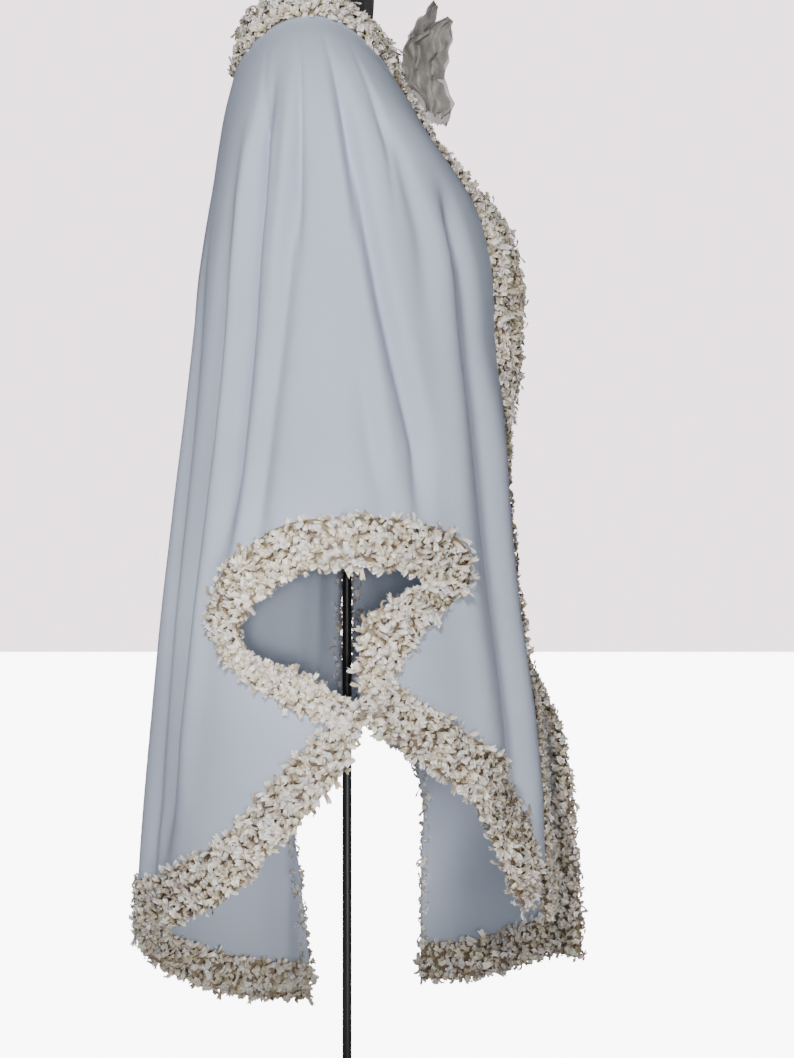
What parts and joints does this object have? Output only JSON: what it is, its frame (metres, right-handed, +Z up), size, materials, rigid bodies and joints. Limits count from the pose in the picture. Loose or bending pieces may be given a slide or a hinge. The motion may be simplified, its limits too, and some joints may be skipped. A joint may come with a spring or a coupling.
{
  "type": "burnous cape on dress form",
  "caption": "White poncho-like cape with ivory ruffled edges, arm openings and an organza bow, resting on a black limbless dress form with a round base.",
  "frame": {"origin": "centre of the underside of the stand's round base, on the floor", "axes": "+Z up along the pole, +X towards the front of the cape, +Y towards the wearer's left"},
  "size_m": [0.5965, 0.6365, 1.474],
  "materials": {
    "crepe": "matt crepe",
    "ruffle": "gathered satin ribbon",
    "organza": "sheer crumpled organza",
    "form_jersey": "matt jersey",
    "stand_metal": "satin black"
  },
  "bodies": {
    "root": {"back": "crepe", "front_right": "crepe", "front_left": "crepe", "neck_trim": "ruffle", "front_trim_right": "ruffle", "front_trim_left": "ruffle", "arm_trim_right_back": "ruffle", "arm_trim_right_front": "ruffle", "arm_trim_left_back": "ruffle", "arm_trim_left_front": "ruffle", "side_trim_right_back": "ruffle", "side_trim_right_front": "ruffle", "side_trim_left_back": "ruffle", "side_trim_left_front": "ruffle", "hem_trim_back": "ruffle", "hem_trim_front_left": "ruffle", "bow_loop_right": "organza", "bow_loop_left": "organza", "bow_tail_right": "organza", "bow_tail_left": "organza", "bow_knot": "organza", "form_torso": "form_jersey", "neck_cap": "stand_metal", "stand_pole": "stand_metal", "stand_base": "stand_metal"}
  },
  "joints": []
}
